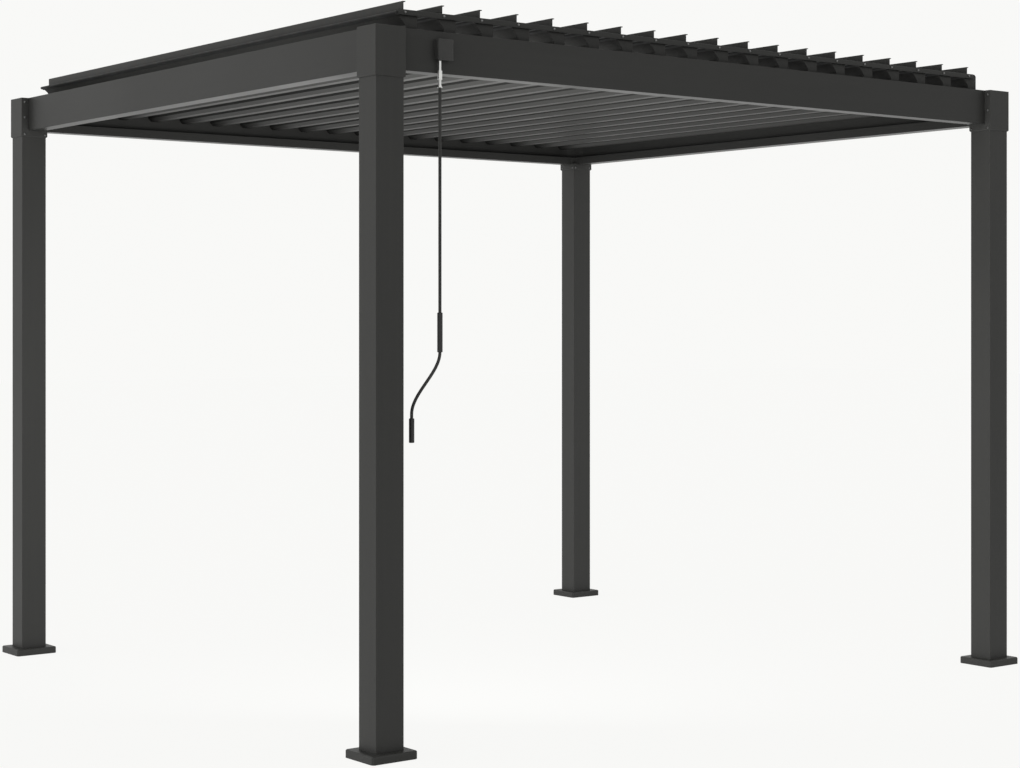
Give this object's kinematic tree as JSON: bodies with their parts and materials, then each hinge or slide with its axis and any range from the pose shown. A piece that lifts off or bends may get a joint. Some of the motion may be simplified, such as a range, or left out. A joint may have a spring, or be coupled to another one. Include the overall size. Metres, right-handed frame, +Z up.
{
  "type": "louvred pergola",
  "caption": "Free-standing aluminium pergola with a roof of tilting louvres, worked together by a link bar and a hand crank on the front beam.",
  "frame": {"origin": "on the ground, under the middle of the footprint", "axes": "+Z up, +X along the front beam from the gearbox end, +Y from the front beam to the back beam"},
  "size_m": [2.965, 2.839, 2.34],
  "materials": {
    "frame_coat": "matt anthracite powder coat",
    "louvre_coat": "matt anthracite powder coat",
    "foot_steel": "galvanised",
    "joint_steel": "satin",
    "rod_coat": "matt powder coat",
    "grip_plastic": "matt",
    "gear_plastic": "matt"
  },
  "bodies": {
    "frame": {"post_front_left": "frame_coat", "post_front_right": "frame_coat", "post_back_right": "frame_coat", "post_back_left": "frame_coat", "foot_plate_front_left": "foot_steel", "foot_plate_front_right": "foot_steel", "foot_plate_back_right": "foot_steel", "foot_plate_back_left": "foot_steel", "foot_cover_front_left": "frame_coat", "foot_cover_front_right": "frame_coat", "foot_cover_back_right": "frame_coat", "foot_cover_back_left": "frame_coat", "corner_bracket_front_left": "frame_coat", "corner_bracket_front_right": "frame_coat", "corner_bracket_back_right": "frame_coat", "corner_bracket_back_left": "frame_coat", "beam_front": "frame_coat", "beam_back": "frame_coat", "beam_right": "frame_coat", "beam_left": "frame_coat", "gearbox": "gear_plastic"},
    "louvre_01": {"louvre_01": "louvre_coat"},
    "louvre_02": {"louvre_02": "louvre_coat"},
    "louvre_03": {"louvre_03": "louvre_coat"},
    "louvre_04": {"louvre_04": "louvre_coat"},
    "louvre_05": {"louvre_05": "louvre_coat"},
    "louvre_06": {"louvre_06": "louvre_coat"},
    "louvre_07": {"louvre_07": "louvre_coat"},
    "louvre_08": {"louvre_08": "louvre_coat"},
    "louvre_09": {"louvre_09": "louvre_coat"},
    "louvre_10": {"louvre_10": "louvre_coat"},
    "louvre_11": {"louvre_11": "louvre_coat"},
    "louvre_12": {"louvre_12": "louvre_coat"},
    "louvre_13": {"louvre_13": "louvre_coat"},
    "louvre_14": {"louvre_14": "louvre_coat"},
    "louvre_15": {"louvre_15": "louvre_coat"},
    "louvre_16": {"louvre_16": "louvre_coat"},
    "louvre_17": {"louvre_17": "louvre_coat"},
    "louvre_18": {"louvre_18": "louvre_coat"},
    "louvre_19": {"louvre_19": "louvre_coat"},
    "link_bar": {"link_bar": "frame_coat"},
    "crank": {"crank_joint": "joint_steel", "crank_rod": "rod_coat", "grip_upper": "grip_plastic", "grip_lower": "grip_plastic"}
  },
  "joints": [
    {"name": "louvre_01_tilt", "type": "hinge", "parent": "frame", "child": "louvre_01", "pos_m": [-1.292, 0, 2.24], "axis": [0, 1, 0], "range_deg": [0, 90]},
    {"name": "louvre_02_tilt", "type": "hinge", "parent": "frame", "child": "louvre_02", "pos_m": [-1.14778, 0, 2.24], "axis": [0, 1, 0], "range_deg": [0, 90]},
    {"name": "louvre_03_tilt", "type": "hinge", "parent": "frame", "child": "louvre_03", "pos_m": [-1.00356, 0, 2.24], "axis": [0, 1, 0], "range_deg": [0, 90]},
    {"name": "louvre_04_tilt", "type": "hinge", "parent": "frame", "child": "louvre_04", "pos_m": [-0.85933, 0, 2.24], "axis": [0, 1, 0], "range_deg": [0, 90]},
    {"name": "louvre_05_tilt", "type": "hinge", "parent": "frame", "child": "louvre_05", "pos_m": [-0.71511, 0, 2.24], "axis": [0, 1, 0], "range_deg": [0, 90]},
    {"name": "louvre_06_tilt", "type": "hinge", "parent": "frame", "child": "louvre_06", "pos_m": [-0.57089, 0, 2.24], "axis": [0, 1, 0], "range_deg": [0, 90]},
    {"name": "louvre_07_tilt", "type": "hinge", "parent": "frame", "child": "louvre_07", "pos_m": [-0.42667, 0, 2.24], "axis": [0, 1, 0], "range_deg": [0, 90]},
    {"name": "louvre_08_tilt", "type": "hinge", "parent": "frame", "child": "louvre_08", "pos_m": [-0.28244, 0, 2.24], "axis": [0, 1, 0], "range_deg": [0, 90]},
    {"name": "louvre_09_tilt", "type": "hinge", "parent": "frame", "child": "louvre_09", "pos_m": [-0.13822, 0, 2.24], "axis": [0, 1, 0], "range_deg": [0, 90]},
    {"name": "louvre_10_tilt", "type": "hinge", "parent": "frame", "child": "louvre_10", "pos_m": [0.006, 0, 2.24], "axis": [0, 1, 0], "range_deg": [0, 90]},
    {"name": "louvre_11_tilt", "type": "hinge", "parent": "frame", "child": "louvre_11", "pos_m": [0.15022, 0, 2.24], "axis": [0, 1, 0], "range_deg": [0, 90]},
    {"name": "louvre_12_tilt", "type": "hinge", "parent": "frame", "child": "louvre_12", "pos_m": [0.29444, 0, 2.24], "axis": [0, 1, 0], "range_deg": [0, 90]},
    {"name": "louvre_13_tilt", "type": "hinge", "parent": "frame", "child": "louvre_13", "pos_m": [0.43867, 0, 2.24], "axis": [0, 1, 0], "range_deg": [0, 90]},
    {"name": "louvre_14_tilt", "type": "hinge", "parent": "frame", "child": "louvre_14", "pos_m": [0.58289, 0, 2.24], "axis": [0, 1, 0], "range_deg": [0, 90]},
    {"name": "louvre_15_tilt", "type": "hinge", "parent": "frame", "child": "louvre_15", "pos_m": [0.72711, 0, 2.24], "axis": [0, 1, 0], "range_deg": [0, 90]},
    {"name": "louvre_16_tilt", "type": "hinge", "parent": "frame", "child": "louvre_16", "pos_m": [0.87133, 0, 2.24], "axis": [0, 1, 0], "range_deg": [0, 90]},
    {"name": "louvre_17_tilt", "type": "hinge", "parent": "frame", "child": "louvre_17", "pos_m": [1.01556, 0, 2.24], "axis": [0, 1, 0], "range_deg": [0, 90]},
    {"name": "louvre_18_tilt", "type": "hinge", "parent": "frame", "child": "louvre_18", "pos_m": [1.15978, 0, 2.24], "axis": [0, 1, 0], "range_deg": [0, 90]},
    {"name": "louvre_19_tilt", "type": "hinge", "parent": "frame", "child": "louvre_19", "pos_m": [1.304, 0, 2.24], "axis": [0, 1, 0], "range_deg": [0, 90]},
    {"name": "link_bar_pivot", "type": "hinge", "parent": "louvre_01", "child": "link_bar", "pos_m": [-1.317, -1.34, 2.304], "axis": [0, 1, 0], "range_deg": [-90, 0]},
    {"name": "crank_turn", "type": "hinge", "parent": "frame", "child": "crank", "pos_m": [-1.211, -1.3765, 2.16], "axis": [0, 0, 1], "range_deg": [0, 3600]}
  ],
  "couplings": [
    {"joint": "louvre_02_tilt", "follows": "louvre_01_tilt", "ratio": 1},
    {"joint": "louvre_03_tilt", "follows": "louvre_01_tilt", "ratio": 1},
    {"joint": "louvre_04_tilt", "follows": "louvre_01_tilt", "ratio": 1},
    {"joint": "louvre_05_tilt", "follows": "louvre_01_tilt", "ratio": 1},
    {"joint": "louvre_06_tilt", "follows": "louvre_01_tilt", "ratio": 1},
    {"joint": "louvre_07_tilt", "follows": "louvre_01_tilt", "ratio": 1},
    {"joint": "louvre_08_tilt", "follows": "louvre_01_tilt", "ratio": 1},
    {"joint": "louvre_09_tilt", "follows": "louvre_01_tilt", "ratio": 1},
    {"joint": "louvre_10_tilt", "follows": "louvre_01_tilt", "ratio": 1},
    {"joint": "louvre_11_tilt", "follows": "louvre_01_tilt", "ratio": 1},
    {"joint": "louvre_12_tilt", "follows": "louvre_01_tilt", "ratio": 1},
    {"joint": "louvre_13_tilt", "follows": "louvre_01_tilt", "ratio": 1},
    {"joint": "louvre_14_tilt", "follows": "louvre_01_tilt", "ratio": 1},
    {"joint": "louvre_15_tilt", "follows": "louvre_01_tilt", "ratio": 1},
    {"joint": "louvre_16_tilt", "follows": "louvre_01_tilt", "ratio": 1},
    {"joint": "louvre_17_tilt", "follows": "louvre_01_tilt", "ratio": 1},
    {"joint": "louvre_18_tilt", "follows": "louvre_01_tilt", "ratio": 1},
    {"joint": "louvre_19_tilt", "follows": "louvre_01_tilt", "ratio": 1},
    {"joint": "link_bar_pivot", "follows": "louvre_01_tilt", "ratio": -1},
    {"joint": "crank_turn", "follows": "louvre_01_tilt", "ratio": 40}
  ]
}
